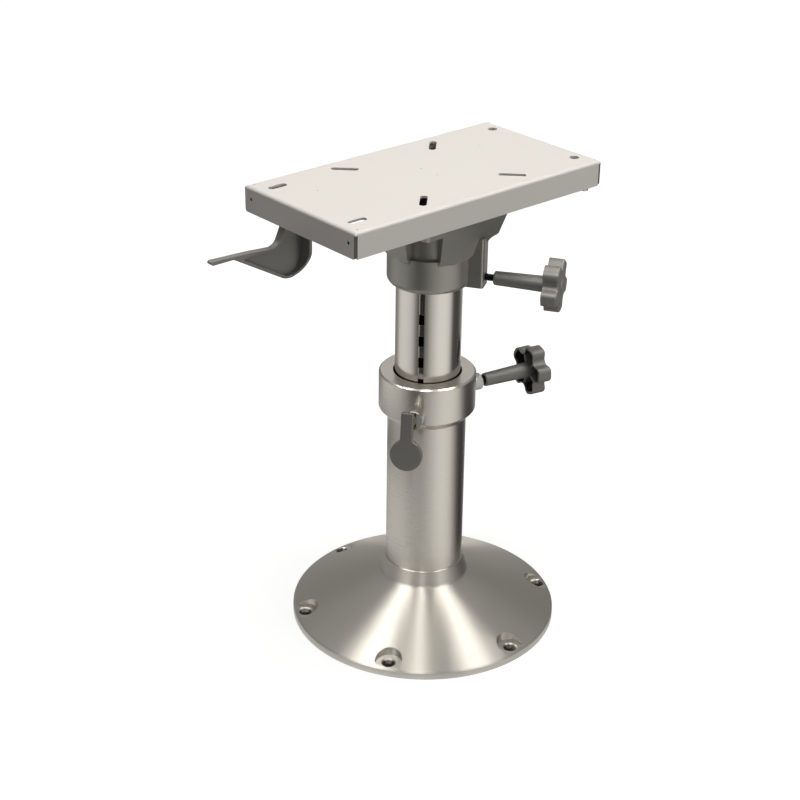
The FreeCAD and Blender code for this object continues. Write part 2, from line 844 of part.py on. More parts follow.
def clamp_parts():
    """Knob, cap, screw and pad of both clamps, keyed by node name."""
    places = {"lower": (lower_knob_start, lower_knob_turn, lower_clamp_bearing, lower_clamp_height),
              "upper": (upper_knob_start, upper_knob_turn, upper_clamp_bearing, upper_clamp_height)}
    knob = clamp_knob()
    cap = knob_cap()
    parts = {}
    for name, (start, turn, angle, height) in places.items():
        shift = FreeCAD.Placement(Vector(start, 0, 0), FreeCAD.Rotation(Vector(1, 0, 0), turn))
        for piece, shape in (("knob", knob), ("knob_cap", cap)):
            moved = shape.copy()
            moved.Placement = shift.multiply(moved.Placement)
            parts[f"{name}_clamp_{piece}"] = bearing(moved, angle, height)
        parts[f"{name}_clamp_screw"] = bearing(clamp_screw(start), angle, height)
        parts[f"{name}_clamp_pad"] = bearing(clamp_pad(), angle, height)
    return parts


# Swivel housing
def rounded_square(half, height):
    points = [(half, half, flare_corner), (-half, half, flare_corner), (-half, -half, flare_corner),
              (half, -half, flare_corner)]
    wire = outline(points, on_xy)
    wire.translate(Vector(0, 0, height))
    return wire


def head_flare():
    """Four-sided flare under the top flange, widening upwards."""
    return Part.makeLoft([rounded_square(flare_bottom_half, flare_bottom),
                          rounded_square(flare_top_half, slide_floor)], True, True)


def head_pocket():
    """Wedge-shaped recess beside the housing's core, under its top flange."""
    reach = 2 * flare_top_half
    edge = reach * math.tan(math.radians(pocket_half_angle))
    wedge = along_z([(0, 0), (reach, -edge), (reach, edge)], flare_bottom - 1, slide_floor - flange_thickness)
    return wedge.cut([upright(housing_core_radius, flare_bottom - 2, slide_floor),
                      upright(housing_radius, flare_bottom - 2, housing_shoulder)])


def clamp_boss():
    """Upright boss that carries the upper clamp screw, drawn along +X."""
    half = clamp_boss_width / 2
    return along_z([
        (post_radius, -half), (clamp_boss_end, -half, clamp_boss_round),
        (clamp_boss_end, half, clamp_boss_round), (post_radius, half)],
        clamp_boss_bottom, clamp_boss_top)


def swivel_housing():
    collar = turned([
        (0, housing_bottom), (housing_radius, housing_bottom, housing_round),
        (housing_radius, housing_shoulder, 0.8), (housing_core_radius, housing_shoulder),
        (housing_core_radius, slide_floor), (0, slide_floor)])
    knee_height = flare_bottom + (flare_knee_radius - housing_radius) * flare_rise
    reach = 2 * flare_top_half
    outer_height = knee_height + (reach - flare_knee_radius) * flare_outer_rise
    bell = turned([
        (0, flare_bottom), (housing_radius, flare_bottom), (flare_knee_radius, knee_height, 10),
        (reach, outer_height), (reach, slide_floor), (0, slide_floor)])
    flare = head_flare().common(bell)
    wedge = head_pocket()
    flare = flare.cut([bearing(wedge, pocket_first_bearing - 90 * (i - 1)) for i in range(pocket_count)])
    body = collar.fuse([flare, bearing(clamp_boss(), upper_clamp_bearing)]).removeSplitter()
    bore = turned([
        (0, housing_bottom - 1), (post_radius + housing_land_gap, housing_bottom - 1),
        (post_radius + housing_land_gap, bush_seat_height), (swivel_bush_radius, bush_seat_height),
        (swivel_bush_radius, ceiling), (0, ceiling)])
    bolt_way = upright(swivel_bolt_radius + running_fit, ceiling - 1, web_top + 1)
    recess = upright(nut_recess_radius, web_top, slide_floor + 1)
    clamp_hole = bearing(spindle(clamp_screw_radius + running_fit, post_bore, clamp_boss_end + 1),
                         upper_clamp_bearing, upper_clamp_height)
    return body.cut([bore, bolt_way, recess, clamp_hole] + slide_bolt_shanks(0))


def swivel_bush(bottom):
    top = bottom + swivel_bush_height
    bush = upright(swivel_bush_radius - press_gap, bottom, top)
    return bush.cut(upright(post_radius + running_fit, bottom, top))


# Slide base
def slide_bolt_shanks(extra):
    """Shanks of the four slide bolts, drawn out by extra to cut their holes."""
    half = slide_bolt_half_spacing
    return [upright(slide_bolt_radius + extra, slide_floor_top - slide_bolt_length, slide_floor_top, x, y)
            for x in (-half, half) for y in (-half, half)]


def slide_bolts():
    bolts = []
    top = slide_floor_top + slide_bolt_head
    for shank in slide_bolt_shanks(0):
        centre = shank.BoundBox.Center
        head = hexagon(slide_bolt_hexagon, slide_floor_top, top, centre.x, centre.y)
        bolts.append(shank.fuse(head).removeSplitter())
    return Part.makeCompound(bolts)


def slide_base():
    """Folded channel with outward flanges that run in the seat's runners."""
    floor = slide_floor
    wall = slide_half_width
    tip = slide_flange_half
    top = slide_top
    t = slide_sheet
    right = [(wall, floor, slide_bend), (wall, top - t, slide_tip_round), (tip, top - t), (tip, top),
             (wall - t, top, slide_bend), (wall - t, floor + t, slide_tip_round)]
    left = [(-u, v) + tuple(r) for u, v, *r in reversed(right)]
    channel = along_y(right + left, slide_front, slide_back)
    holes = slide_bolt_shanks(slide_bolt_play)
    holes.append(upright(nut_recess_radius + access_hole_margin, floor - 1, floor + t + 1))
    return channel.cut(holes)


def latch_rack():
    """Notched strip standing on the slide base beside the latch arm."""
    bottom = slide_floor_top
    back = latch_stud_y + rack_notches_each_way * latch_pitch + rack_end_margin
    face = rack_x + rack_sheet
    strip = along_y([
        (rack_x, bottom), (face + rack_foot, bottom), (face + rack_foot, bottom + rack_sheet),
        (face, bottom + rack_sheet, rack_bend), (face, rack_top), (rack_x, rack_top)], slide_front, back)
    centre = rack_top - notch_rise
    notches = []
    for step in range(-rack_notches_each_way, rack_notches_each_way + 1):
        y = latch_stud_y + step * latch_pitch
        notches.append(spindle(notch_radius, rack_x - 1, face + 1, y, centre))
        notches.append(box((rack_x - 1, face + 1), (y - notch_radius, y + notch_radius),
                           (centre, rack_top + 1)))
    return strip.cut(notches)


# Seat plate and rails
def tray_block(half_width, front, back, top, bend):
    """Block with the tray's outline and rounded top edges."""
    low = plate_top - plate_depth
    across = along_y([(-half_width, low), (-half_width, top, bend), (half_width, top, bend),
                      (half_width, low)], front, back)
    lengthways = along_x([(front, low), (front, top, bend), (back, top, bend), (back, low)],
                         -half_width, half_width)
    return across.common(lengthways)


def seam_cutters():
    """Open seams at the corners, where the end flanges overlap the ends of the side flanges."""
    low = plate_top - plate_depth - 1
    high = plate_top - plate_bend
    cutters = []
    for side in (-1, 1):
        outside = side * (plate_half_width + 1)
        for edge, inward in ((plate_front, 1), (plate_back, -1)):
            inside = edge + inward * plate_sheet
            cutters.append(box((side * (plate_half_width - plate_sheet - 1), outside),
                               (inside, inside + inward * plate_seam_gap), (low, high)))
            cutters.append(box((side * (plate_half_width - plate_lip_step), outside),
                               (edge - inward, inside), (low, high)))
    return cutters


def seat_plate():
    """Tray folded from one sheet, with open seams at its corners."""
    t = plate_sheet
    low = plate_top - plate_depth
    tray = tray_block(plate_half_width, plate_front, plate_back, plate_top, plate_bend)
    hollow = tray_block(plate_half_width - t, plate_front + t, plate_back - t, plate_under, plate_bend - t)
    tray = tray.cut([hollow] + seam_cutters())
    corners = [e for e in tray.Edges if abs(e.BoundBox.ZMin - low) < 0.01 and e.BoundBox.ZLength < 0.01
               and e.BoundBox.XLength < 0.01 and e.BoundBox.YLength < t + 0.01]
    return tray.makeFillet(plate_corner_round, corners).cut(plate_cutters())


def relief_hole(x, y):
    return upright(relief_radius, plate_under - 1, plate_top + 1, x, y)


def plate_cutters():
    spacing = seat_hole_half_spacing
    centre = diagonal_slot_centre
    cutters = []
    for side in (-1, 1):
        cutters.append(slot(front_slot_length, front_slot_radius, 90, side * spacing,
                            plate_front + front_slot_inset))
        cutters.append(upright(rear_hole_radius, plate_under - 1, plate_top + 1, side * spacing,
                               plate_back - rear_hole_inset))
        for end in (-1, 1):
            cutters.append(slot(diagonal_slot_length, diagonal_slot_radius, 45 * side * end, side * centre,
                                diagonal_slot_y + end * centre))
        for y in (plate_front + relief_front_inset, plate_back - relief_back_inset):
            cutters.append(relief_hole(side * (plate_half_width - relief_side_inset), y))
        cutters.append(relief_hole(side * gauge_hole_half_spacing, diagonal_slot_y + gauge_hole_shift))
        end_hole = Part.makeCylinder(end_hole_radius, plate_sheet + 2,
                                     Vector(side * (plate_half_width - end_hole_inset), plate_front - 1,
                                            plate_top - end_hole_drop), Vector(0, 1, 0))
        cutters.append(end_hole)
    for y in (plate_front + rivet_hole_front_inset, plate_back - rivet_hole_back_inset):
        cutters.append(relief_hole(rivet_hole_x, y))
    return cutters


def slide_rail(side):
    """C-shaped rail against the seat plate's side flange, closed at its front end."""
    t = rail_sheet
    points = [(rail_inner, rail_bottom), (rail_outer, rail_bottom, rail_bend),
              (rail_outer, plate_under, plate_bend - plate_sheet + sliding_gap), (rail_inner, plate_under),
              (rail_inner, plate_under - t), (rail_outer - t, plate_under - t, 0.6),
              (rail_outer - t, rail_bottom + t, 0.6), (rail_inner, rail_bottom + t)]
    rail = along_y([(side * u, v) + tuple(r) for u, v, *r in points], rail_front, rail_back)
    stop = box((side * rail_inner, side * (rail_outer - t / 2)), (rail_front, rail_front + t),
               (runner_bottom - 1, runner_top + 1))
    screw_way = upright(stop_screw_radius, rail_bottom - 1, plate_under + 1, side * stop_screw_x, rail_stop_y)
    return rail.fuse(stop).removeSplitter().cut(screw_way)


def runner(side):
    """Nylon liner of a rail, with the groove that the slide base's flange runs in."""
    inner = rail_inner - runner_inset
    outer = runner_outer
    groove_low = runner_bottom + runner_web
    groove_high = runner_top - runner_web
    points = [(inner, runner_bottom, runner_round), (outer, runner_bottom, runner_round),
              (outer, runner_top, runner_round), (inner, runner_top, runner_round), (inner, groove_high),
              (groove_end, groove_high), (groove_end, groove_low), (inner, groove_low)]
    start = rail_front + rail_sheet + press_gap
    end = rail_stop_y - stop_screw_radius - press_gap
    return along_y([(side * u, v) + tuple(r) for u, v, *r in points], start, end)


def stop_screws():
    """Rear end stops of the slide, with heads below the plate's side flanges."""
    low = plate_top - plate_depth - stop_screw_drop
    screws = []
    for side in (-1, 1):
        x = side * stop_screw_x
        shank = upright(stop_screw_radius - press_gap, low, plate_under, x, rail_stop_y)
        head = upright(stop_head_radius, low, low + stop_head_height, x, rail_stop_y)
        head = head.makeFillet(stop_head_round, [e for e in head.Edges if e.BoundBox.ZMax < low + 0.01])
        screws.append(shank.fuse(head).removeSplitter())
    return Part.makeCompound(screws)


# Slide latch and lever
def latch_arm():
    low = latch_pivot_z - arm_below
    high = latch_pivot_z + arm_above
    end = latch_pivot_y + arm_above
    arm = along_x([
        (arm_front, low, arm_front_round), (end, low, arm_end_round), (end, high, arm_end_round),
        (arm_front, high, arm_front_round)], arm_x, arm_face)
    pivot = spindle(latch_pivot_radius + running_fit, arm_x - 1, arm_face + 1, latch_pivot_y, latch_pivot_z)
    stud = spindle(latch_stud_radius + press_gap, arm_x - 1, arm_face + 1, latch_stud_y, latch_stud_z)
    return arm.cut([pivot, stud] + rivet_shanks(press_gap))


def latch_stud():
    """Round stud of the arm that drops into the rack's notches."""
    return spindle(latch_stud_radius, arm_x, rack_x + rack_sheet + latch_stud_end, latch_stud_y, latch_stud_z)


def rivet_shanks(extra):
    places = (lever_back_y - lever_rivet_back_inset, lever_back_y - lever_rivet_front_inset)
    radius = lever_rivet_radius + extra
    return [spindle(radius, arm_x - lever_web, arm_face, y, latch_pivot_z) for y in places]


def lever_rivets():
    rivets = []
    outside = arm_x - lever_web
    for shank in rivet_shanks(0):
        y = shank.BoundBox.Center.y
        heads = [spindle(rivet_head_radius, arm_face, arm_face + rivet_head_height, y, latch_pivot_z),
                 spindle(rivet_head_radius, outside - rivet_head_height, outside, y, latch_pivot_z)]
        rivets.append(shank.fuse(heads).removeSplitter())
    return Part.makeCompound(rivets)


def lever_point(setback, drop, *radius):
    """A corner of the lever's side view, from its back edge forwards and from the latch pivot down."""
    return (lever_back_y - setback, latch_pivot_z - drop) + radius


def lever_outline():
    tip = lever_length
    under = lever_tongue_drop + lever_tongue_thickness
    return [
        lever_point(tip, under, lever_tongue_round),
        lever_point(lever_break_setback, under, lever_break_round),
        lever_point(0, lever_corner_drop, lever_round), lever_point(0, lever_neck_drop),
        lever_point(lever_neck_width - lever_neck_step, lever_neck_drop),
        lever_point(lever_neck_width, lever_throat_drop, lever_throat_round),
        lever_point(lever_knee_setback, lever_knee_drop, lever_knee_round),
        lever_point(lever_fall_setback, lever_fall_drop),
        lever_point(tip, lever_tongue_drop, lever_tongue_round)]


def lever_pocket():
    """Hollow inside the lever's rim, as (y, z) corners."""
    rim = lever_rim
    high = lever_neck_drop - lever_head_rise
    corner = lever_corner_drop - rim * math.sqrt(3)
    return [
        lever_point(lever_pocket_setback, lever_pocket_drop, 1), lever_point(rim, corner, lever_round - rim),
        lever_point(rim, high), lever_point(lever_neck_width - rim - lever_neck_step, high),
        lever_point(lever_neck_width - rim, lever_throat_drop, lever_throat_round),
        lever_point(lever_knee_setback - rim, lever_pocket_drop - rim / 4, lever_knee_round + rim / 2),
        lever_point(lever_fall_setback - rim / 2, lever_pocket_drop - lever_pocket_fall + rim / 4)]


def slide_lever():
    """Moulded lever: a web with a rim round it, deeper along the back, and a tongue for the hand."""
    outer_face = arm_x - lever_web
    shallow = outer_face + lever_rim_depth
    deep = outer_face + lever_back_depth
    full = along_x(lever_outline(), outer_face, deep)
    pocket = along_x(lever_pocket(), arm_x, deep + 1)
    front = lever_tip_y - 1
    step = lever_back_y - lever_trim_step
    bottom = latch_pivot_z - lever_corner_drop - 1
    trim = along_z([
        (shallow, front), (shallow, lever_back_y - lever_trim_setback, lever_trim_round),
        (deep, step, lever_trim_round / 2), (deep, lever_back_y + 1), (deep + 2, lever_back_y + 1),
        (deep + 2, front)], bottom, latch_pivot_z)
    low, high, highest = [latch_pivot_z - drop for drop in lever_taper_drops]
    taper = along_y([
        (shallow, bottom), (shallow, low, 4), (deep, high, lever_taper_round), (deep, highest),
        (deep + 2, highest), (deep + 2, bottom)], front, lever_back_y + 1)
    head_front = lever_front_y + lever_neck_step
    head = along_x([
        (head_front, latch_pivot_z - lever_head_drop), (lever_back_y, latch_pivot_z - lever_head_drop),
        (lever_back_y, latch_pivot_z + lever_head_rise, lever_head_round),
        (head_front, latch_pivot_z + lever_head_rise, lever_head_round)], outer_face, arm_x)
    lever = full.cut([pocket, trim, taper]).fuse(head).removeSplitter()
    return lever.cut(rivet_shanks(press_gap))


def latch_bracket():
    """Bracket under the seat plate that carries the latch arm's pivot."""
    top = plate_under
    t = bracket_sheet
    left = arm_x - bracket_side_gap - t
    right = arm_face + bracket_side_gap + t
    low = latch_pivot_z - arm_above
    half = bracket_length / 2
    yoke = along_y([
        (left, low, 0.6), (left, top), (right, top), (right, low, 0.6), (right - t, low),
        (right - t, top - t, bracket_round), (left + t, top - t, bracket_round), (left + t, low)],
        latch_pivot_y - half, latch_pivot_y + half)
    return yoke.cut(spindle(latch_pivot_radius, left - 1, right + 1, latch_pivot_y, latch_pivot_z))


def latch_pivot_pin():
    reach = bracket_side_gap + bracket_sheet + pivot_pin_end
    radius = latch_pivot_radius - press_gap
    return spindle(radius, arm_x - reach, arm_face + reach, latch_pivot_y, latch_pivot_z)


def latch_spring():
    bottom = latch_pivot_z + arm_above
    spring = coil(latch_spring_radius, latch_spring_wire, latch_spring_turns, plate_under - bottom)
    spring.translate(Vector(arm_x + arm_sheet / 2, latch_spring_y, bottom))
    return spring


def all_parts():
    parts = {
        "base_flange": base_flange(), "column_tube": column_tube(), "column_collar": column_collar(),
        "column_bush": column_bush(), "post": post(), "post_foot_ring": post_foot_ring(),
        "post_plug": post_plug(), "thrust_washer": thrust_washer(), "swivel_bolt": swivel_bolt(),
        "swivel_washer": swivel_washer(), "swivel_nut": swivel_nut(), "height_pin": height_pin(),
        "pin_spring": pin_spring(), "lever_pivot_pin": lever_pivot_pin(),
        "lever_pull_pin": lever_pull_pin(), "height_lever": height_lever(),
        "lower_clamp_bush": lower_clamp_bush(), "swivel_housing": swivel_housing(),
        "lower_swivel_bush": swivel_bush(bush_seat_height),
        "upper_swivel_bush": swivel_bush(upper_bush_height),
        "slide_bolts": slide_bolts(), "slide_base": slide_base(), "latch_rack": latch_rack(),
        "seat_plate": seat_plate(), "left_rail": slide_rail(-1), "right_rail": slide_rail(1),
        "left_runner": runner(-1), "right_runner": runner(1), "stop_screws": stop_screws(),
        "latch_arm": latch_arm(), "latch_stud": latch_stud(), "lever_rivets": lever_rivets(),
        "slide_lever": slide_lever(), "latch_bracket": latch_bracket(), "latch_pivot_pin": latch_pivot_pin(),
        "latch_spring": latch_spring()}
    parts.update(clamp_parts())
    return parts


os.makedirs("parts", exist_ok=True)
for name, shape in all_parts().items():
    shape.exportStep(f"parts/{name}.step")
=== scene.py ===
import json
import math

import bmesh
import bpy
from mathutils import Euler, Matrix, Vector


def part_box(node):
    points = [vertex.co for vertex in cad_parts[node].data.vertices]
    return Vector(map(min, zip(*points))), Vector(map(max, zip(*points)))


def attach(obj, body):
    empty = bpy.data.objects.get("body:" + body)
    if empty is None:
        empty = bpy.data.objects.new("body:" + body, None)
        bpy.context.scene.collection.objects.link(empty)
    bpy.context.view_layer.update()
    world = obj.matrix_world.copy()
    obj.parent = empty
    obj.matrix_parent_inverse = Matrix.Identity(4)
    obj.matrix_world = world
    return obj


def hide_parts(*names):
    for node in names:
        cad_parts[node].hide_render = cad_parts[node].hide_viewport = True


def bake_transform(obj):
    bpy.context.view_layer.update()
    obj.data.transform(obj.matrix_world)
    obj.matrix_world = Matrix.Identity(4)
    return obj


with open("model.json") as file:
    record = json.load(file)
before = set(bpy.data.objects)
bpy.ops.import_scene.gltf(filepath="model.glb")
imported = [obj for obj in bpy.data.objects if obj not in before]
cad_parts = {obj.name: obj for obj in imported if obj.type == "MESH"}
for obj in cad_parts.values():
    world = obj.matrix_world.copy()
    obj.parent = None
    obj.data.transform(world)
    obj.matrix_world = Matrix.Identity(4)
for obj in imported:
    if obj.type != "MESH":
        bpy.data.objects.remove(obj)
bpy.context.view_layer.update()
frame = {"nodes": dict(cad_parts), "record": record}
nodes = frame["nodes"]

# The photograph's camera, found by fitting the base's rim, the seat plate's corners and the column
CAMERA_BEARING = 47.65
CAMERA_PLACE = (1.29442, -1.18003, 1.14311)
CAMERA_TURN = (63.47523, -0.71254, 48.98379)
CAMERA_LENS = 78.96
SENSOR_WIDTH = 36.0

# Bolt holes of the base, from the CAD: how many, bearing of the first, distance from the rim
BOLT_COUNT = 6
FIRST_BOLT_BEARING = 32.6
BOLT_EDGE_DISTANCE = 0.0115

# Clamp screws: their thread, and the length that sits in the knob's sleeve
SCREW_RADIUS = 0.004
SCREW_PITCH = 0.00125
THREAD_DEPTH = 0.00068
SCREW_IN_KNOB = 0.022

# Black discs set in the seat plate's front flange holes, standing in for the shade inside them, with their
# middle's distance from side, top and front
SHADE_DISC_RADIUS = 0.0018
SHADE_DISC_LENGTH = 0.002
SHADE_DISC_INSET = 0.0105
SHADE_DISC_DROP = 0.013
SHADE_DISC_DEPTH = 0.0014

# The clamps, from the CAD: bearing, height, inner end of the screw, start of the knob's sleeve
CLAMPS = {"lower": (168.0, 0.278, 0.0413, 0.0736), "upper": (122.2, 0.4262, 0.0413, 0.0714)}

# Distance from the start of a knob's sleeve to the open back of its head
KNOB_BACK = 0.0566

# What the cards in the studio are placed round
OBJECT_MIDDLE = (0, 0, 0.25)


def outward(bearing):
    """Level direction at a bearing, counted from -Y towards +X."""
    angle = math.radians(bearing)
    return Vector((math.sin(angle), -math.cos(angle), 0))


def aimed(bearing, elevation, distance, centre=OBJECT_MIDDLE):
    """A point seen from the centre at a bearing, elevation and distance."""
    lift = math.radians(elevation)
    direction = outward(bearing) * math.cos(lift) + Vector((0, 0, math.sin(lift)))
    return Vector(centre) + distance * direction


# Node helpers
def fill_in(tree, socket, value):
    """Give an input a value, or link another node's output to it."""
    if isinstance(value, bpy.types.NodeSocket):
        tree.links.new(value, socket)
    else:
        socket.default_value = value


def put(tree, kind, inputs=None, **settings):
    """Add a node, set its properties, and fill its inputs with values or other nodes' outputs."""
    made = tree.nodes.new(kind)
    for key, value in settings.items():
        setattr(made, key, value)
    for key, value in (inputs or {}).items():
        fill_in(tree, made.inputs[key], value)
    return made


def math_of(tree, operation, a, b=0.0, clamp=False):
    """One step of arithmetic on values."""
    return put(tree, "ShaderNodeMath", {0: a, 1: b}, operation=operation, use_clamp=clamp).outputs[0]


def product(tree, *values):
    """Values multiplied together."""
    result = values[0]
    for value in values[1:]:
        result = math_of(tree, "MULTIPLY", result, value)
    return result


def level_distance(tree, x, y, centre=(0.0, 0.0)):
    """Distance in plan from a centre, which is the column's axis if none is given."""
    squares = [math_of(tree, "POWER", math_of(tree, "SUBTRACT", value, middle), 2.0)
               for value, middle in ((x, centre[0]), (y, centre[1]))]
    return math_of(tree, "SQRT", math_of(tree, "ADD", *squares))


def vector_of(tree, operation, a, b, output="Vector"):
    """One step of arithmetic on vectors."""
    return put(tree, "ShaderNodeVectorMath", {0: a, 1: b}, operation=operation).outputs[output]


def spread(tree, value, low, high, to_low, to_high):
    """Map a value from one range to another, clamped."""
    inputs = {"Value": value, "From Min": low, "From Max": high, "To Min": to_low, "To Max": to_high}
    return put(tree, "ShaderNodeMapRange", inputs).outputs["Result"]


def rise(tree, value, ends):
    """0 to 1 as a value goes from the first of the ends to the second, which may be the smaller."""
    return spread(tree, value, ends[0], ends[1], 0.0, 1.0)


def mixed(tree, factor, a, b):
    """Colour a where factor is 0 and colour b where it is 1."""
    node = put(tree, "ShaderNodeMix", data_type="RGBA")
    sockets = {socket.name: socket for socket in node.inputs if socket.enabled}
    for key, value in (("Factor", factor), ("A", a), ("B", b)):
        fill_in(tree, sockets[key], value)
    return next(socket for socket in node.outputs if socket.enabled)


def group(name, inputs, outputs, fill):
    """A node group with float inputs; fill(tree, input sockets) returns its output sockets by name."""
    tree = bpy.data.node_groups.new(name, "ShaderNodeTree")
    for label, value in inputs.items():
        socket = tree.interface.new_socket(label, in_out="INPUT", socket_type="NodeSocketFloat")
        socket.default_value = value
    for label, kind in outputs.items():
        tree.interface.new_socket(label, in_out="OUTPUT", socket_type=kind)
    source = tree.nodes.new("NodeGroupInput")
    sink = tree.nodes.new("NodeGroupOutput")
    results = fill(tree, source.outputs)
    for label, socket in results.items():
        tree.links.new(socket, sink.inputs[label])
    return tree


def use(tree, made, **values):
    """Place a node group with its own values, and return its outputs."""
    return put(tree, "ShaderNodeGroup", values, node_tree=made).outputs


def place(tree):
    """The point on the surface, in the frame."""
    return put(tree, "ShaderNodeTexCoord").outputs["Object"]


def noise(tree, vector, scale, detail=2.0, roughness=0.5):
    """An even noise from 0 to 1."""
    inputs = {"Vector": vector, "Scale": scale, "Detail": detail, "Roughness": roughness}
    return put(tree, "ShaderNodeTexNoise", inputs).outputs["Fac"]


def bump(tree, height, strength, distance):
    """Normals tilted by a height."""
    inputs = {"Height": height, "Strength": strength, "Distance": distance}
    return put(tree, "ShaderNodeBump", inputs).outputs["Normal"]


# Depth of the marks at full strength
TURNED_DEPTH = 0.0004
GRAIN_DEPTH = 0.0006

# Turning marks are fine rings for this share, and for the rest broad ones at this part of their scale
FINE_SHARE = 0.65
BROAD_SCALE = 0.07

# Pointiness between which a corner gets a painted highlight, and the noise that breaks the highlight up
HIGHLIGHT_POINTINESS = (0.52, 0.62)
HIGHLIGHT_BREAK_SCALE = 180.0

# Between these lie most values of a noise
NOISE_ENDS = (0.3, 0.7)


def turned_marks(tree, inputs):
    """Fine rings round the column's axis, as a lathe or a spinning tool leaves them."""
    x, y, z = put(tree, "ShaderNodeSeparateXYZ", {"Vector": place(tree)}).outputs
    along = put(tree, "ShaderNodeCombineXYZ", {"X": level_distance(tree, x, y), "Y": z}).outputs[0]
    fine = noise(tree, along, inputs["Scale"], 3.0, 0.7)
    broad = noise(tree, along, product(tree, inputs["Scale"], BROAD_SCALE), 2.0)
    marks = math_of(tree, "ADD", product(tree, fine, FINE_SHARE), product(tree, broad, 1 - FINE_SHARE))
    return {"Mask": marks, "Normal": bump(tree, marks, inputs["Strength"], TURNED_DEPTH)}


def cloudy_marks(tree, inputs):
    """Soft uneven patches with a fine grain over them."""
    where = place(tree)
    broad = noise(tree, where, inputs["Broad"], 3.0)
    grain = noise(tree, where, inputs["Grain"], 4.0, 0.6)
    return {"Mask": broad, "Normal": bump(tree, grain, inputs["Strength"], GRAIN_DEPTH)}


def edge_highlight_marks(tree, inputs):
    """A painted highlight where the surface turns a corner, broken up by a fine noise."""
    point = put(tree, "ShaderNodeNewGeometry").outputs["Pointiness"]
    broken = spread(tree, noise(tree, place(tree), HIGHLIGHT_BREAK_SCALE, 3.0), 0.4, 0.65, 0.2, 1.0)
    return {"Mask": product(tree, rise(tree, point, HIGHLIGHT_POINTINESS), broken, inputs["Amount"])}


MARKS = {"Mask": "NodeSocketFloat", "Normal": "NodeSocketVector"}
TURNED = group("turned_marks", {"Scale": 900.0, "Strength": 0.1}, MARKS, turned_marks)
CLOUDY = group("cloudy_marks", {"Broad": 12.0, "Grain": 900.0, "Strength": 0.1}, MARKS, cloudy_marks)
EDGE_HIGHLIGHTS = group("edge_highlight_marks", {"Amount": 0.5}, {"Mask": "NodeSocketFloat"}, edge_highlight_marks)


# Materials
def shade(colour, factor, lift=0.0):
    """A colour made darker or lighter, as a node socket wants it."""
    return tuple(min(1.0, c * factor + lift) for c in colour) + (1,)


def material(name, **constants):
    """A new material and its tree and Principled node, with constants set by socket name."""
    made = bpy.data.materials.new(name)
    made.use_nodes = True
    tree = made.node_tree
    shader = tree.nodes["Principled BSDF"]
    for key, value in constants.items():
        shader.inputs[key.replace("_", " ")].default_value = value
    return made, tree, shader


def join(tree, socket, shader, name):
    """Link an output to the shader's input of that name."""
    tree.links.new(socket, shader.inputs[name])


# Painted shade in the base's bolt holes: its colour, and the radii between which it fades in
HOLE_SHADE_COLOUR = (0.1, 0.092, 0.08, 1)
HOLE_SHADE_RADII = (0.0076, 0.0066)


def bolt_hole_painted_shade(tree):
    """1 in the countersinks and bolt holes of the base, where shade is painted, 0 elsewhere."""
    x, y, _ = put(tree, "ShaderNodeSeparateXYZ", {"Vector": place(tree)}).outputs
    circle_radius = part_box("base_flange")[1][0] - BOLT_EDGE_DISTANCE
    holes = 0.0
    for i in range(BOLT_COUNT):
        centre = outward(FIRST_BOLT_BEARING + 360 / BOLT_COUNT * i) * circle_radius
        distance = level_distance(tree, x, y, centre)
        holes = math_of(tree, "MAXIMUM", holes, rise(tree, distance, HOLE_SHADE_RADII))
    return holes


def metal(name, colour, roughness, scale, strength, anisotropy=0.0, rough_range=0.05, painted_shade=None):
    """Bare metal with turning marks; anisotropy draws its highlights out across the marks."""
    made, tree, shader = material(name, Metallic=1.0, Anisotropic=anisotropy, Anisotropic_Rotation=0.25)
    marks = use(tree, TURNED, Scale=scale, Strength=strength)
    clouds = use(tree, CLOUDY, Broad=9.0, Grain=700.0, Strength=0.02)
    base = mixed(tree, marks["Mask"], shade(colour, 0.975), shade(colour, 1.02))
    # Painted shade in the holes that the mask finds
    if painted_shade:
        base = mixed(tree, painted_shade(tree), base, HOLE_SHADE_COLOUR)
    join(tree, base, shader, "Base Color")
    varied = product(tree, math_of(tree, "ADD", marks["Mask"], clouds["Mask"]), 0.5)
    rough = spread(tree, varied, *NOISE_ENDS, roughness - rough_range, roughness + rough_range)
    join(tree, rough, shader, "Roughness")
    join(tree, marks["Normal"], shader, "Normal")
    if anisotropy:
        tangent = put(tree, "ShaderNodeTangent", direction_type="RADIAL", axis="Z").outputs[0]
        join(tree, tangent, shader, "Tangent")
    return made


# A knob's hollows, where shade is painted: the depths from the open back of its head, the squares of the
# radius, and the cosines to the radius and to the axis between which the mask of walls and floors fades in,
# and the part of the colour that is left under the painted shade
WALL_DEPTHS = (0.0, 0.002)
FLOOR_DEPTHS = (0.003, 0.005)
HEAD_RADII_SQUARED = (0.0014, 0.0012)
WALL_FACING = (-0.1, -0.3)
FLOOR_FACING = (-0.5, -0.8)
HOLLOW_SHADE_FACTOR = 0.12


